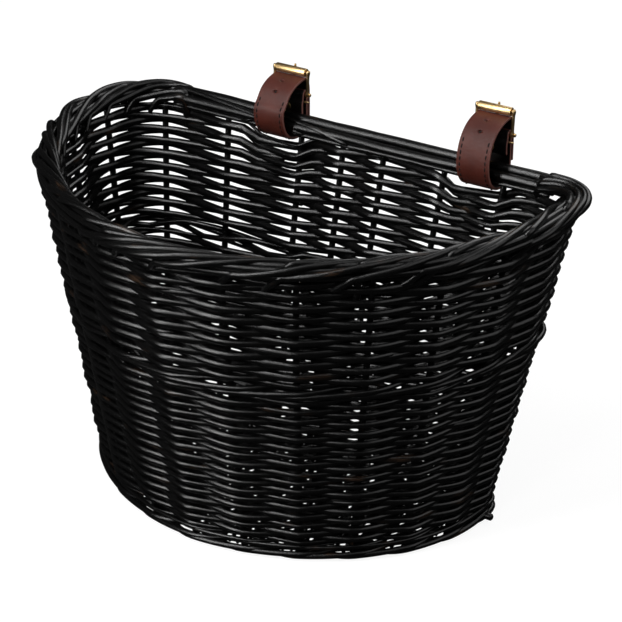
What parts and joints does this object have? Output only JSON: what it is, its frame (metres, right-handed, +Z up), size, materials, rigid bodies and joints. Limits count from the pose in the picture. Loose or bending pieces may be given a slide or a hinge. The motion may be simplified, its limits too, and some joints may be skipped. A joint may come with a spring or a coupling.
{
  "type": "handlebar basket",
  "caption": "D-shaped woven willow basket with a rolled border and a flat back, hung on a handlebar by two buckled leather straps.",
  "frame": {"origin": "centre of the underside of the woven base", "axes": "+Z up, +Y towards the bicycle (the flat back), +X to the right seen from the round front"},
  "size_m": [0.3786, 0.2481, 0.2672],
  "materials": {
    "black_willow": "black satin paint over peeled willow rods",
    "brown_leather": "smooth finished red-brown leather with paler cut edges",
    "brass": "polished brass plate, slightly worn"
  },
  "bodies": {
    "basket": {"base_weave": "black_willow", "base_stick_1": "black_willow", "base_stick_2": "black_willow", "base_stick_3": "black_willow", "base_stick_4": "black_willow", "base_stick_5": "black_willow", "stake_01": "black_willow", "stake_02": "black_willow", "stake_03": "black_willow", "stake_04": "black_willow", "stake_05": "black_willow", "stake_06": "black_willow", "stake_07": "black_willow", "stake_08": "black_willow", "stake_09": "black_willow", "stake_10": "black_willow", "stake_11": "black_willow", "stake_12": "black_willow", "stake_13": "black_willow", "stake_14": "black_willow", "stake_15": "black_willow", "stake_16": "black_willow", "stake_17": "black_willow", "stake_18": "black_willow", "stake_19": "black_willow", "stake_20": "black_willow", "stake_21": "black_willow", "foot_wale": "black_willow", "lower_siding": "black_willow", "middle_wale": "black_willow", "upper_siding": "black_willow", "border_outer_rod": "black_willow", "border_inner_rod": "black_willow", "border_top_rod": "black_willow"},
    "left_strap_loop": {"left_strap": "brown_leather", "left_rivet": "brass", "left_fold_pin": "brass", "left_heel_pin": "brass"},
    "left_buckle": {"left_buckle_frame": "brass"},
    "left_roller": {"left_buckle_roller": "brass"},
    "left_prong": {"left_buckle_prong": "brass"},
    "right_strap_loop": {"right_strap": "brown_leather", "right_rivet": "brass", "right_fold_pin": "brass", "right_heel_pin": "brass"},
    "right_buckle": {"right_buckle_frame": "brass"},
    "right_roller": {"right_buckle_roller": "brass"},
    "right_prong": {"right_buckle_prong": "brass"}
  },
  "joints": [
    {"name": "left_strap_rock", "type": "hinge", "parent": "basket", "child": "left_strap_loop", "pos_m": [-0.054, 0.1173, 0.2259], "axis": [1, 0, 0], "range_deg": [-8, 8]},
    {"name": "left_buckle_tilt", "type": "hinge", "parent": "left_strap_loop", "child": "left_buckle", "pos_m": [-0.054, 0.127, 0.2425], "axis": [-1, 0, 0], "range_deg": [0, 6]},
    {"name": "left_roller_spin", "type": "hinge", "parent": "left_buckle", "child": "left_roller", "pos_m": [-0.054, 0.128, 0.258], "axis": [1, 0, 0], "continuous": true},
    {"name": "left_prong_lift", "type": "hinge", "parent": "left_buckle", "child": "left_prong", "pos_m": [-0.054, 0.127, 0.2425], "axis": [-1, 0, 0], "range_deg": [0, 10]},
    {"name": "right_strap_rock", "type": "hinge", "parent": "basket", "child": "right_strap_loop", "pos_m": [0.106, 0.1173, 0.2259], "axis": [1, 0, 0], "range_deg": [-8, 8]},
    {"name": "right_buckle_tilt", "type": "hinge", "parent": "right_strap_loop", "child": "right_buckle", "pos_m": [0.106, 0.127, 0.2485], "axis": [-1, 0, 0], "range_deg": [0, 6]},
    {"name": "right_roller_spin", "type": "hinge", "parent": "right_buckle", "child": "right_roller", "pos_m": [0.106, 0.128, 0.264], "axis": [1, 0, 0], "continuous": true},
    {"name": "right_prong_lift", "type": "hinge", "parent": "right_buckle", "child": "right_prong", "pos_m": [0.106, 0.127, 0.2485], "axis": [-1, 0, 0], "range_deg": [0, 10]}
  ]
}
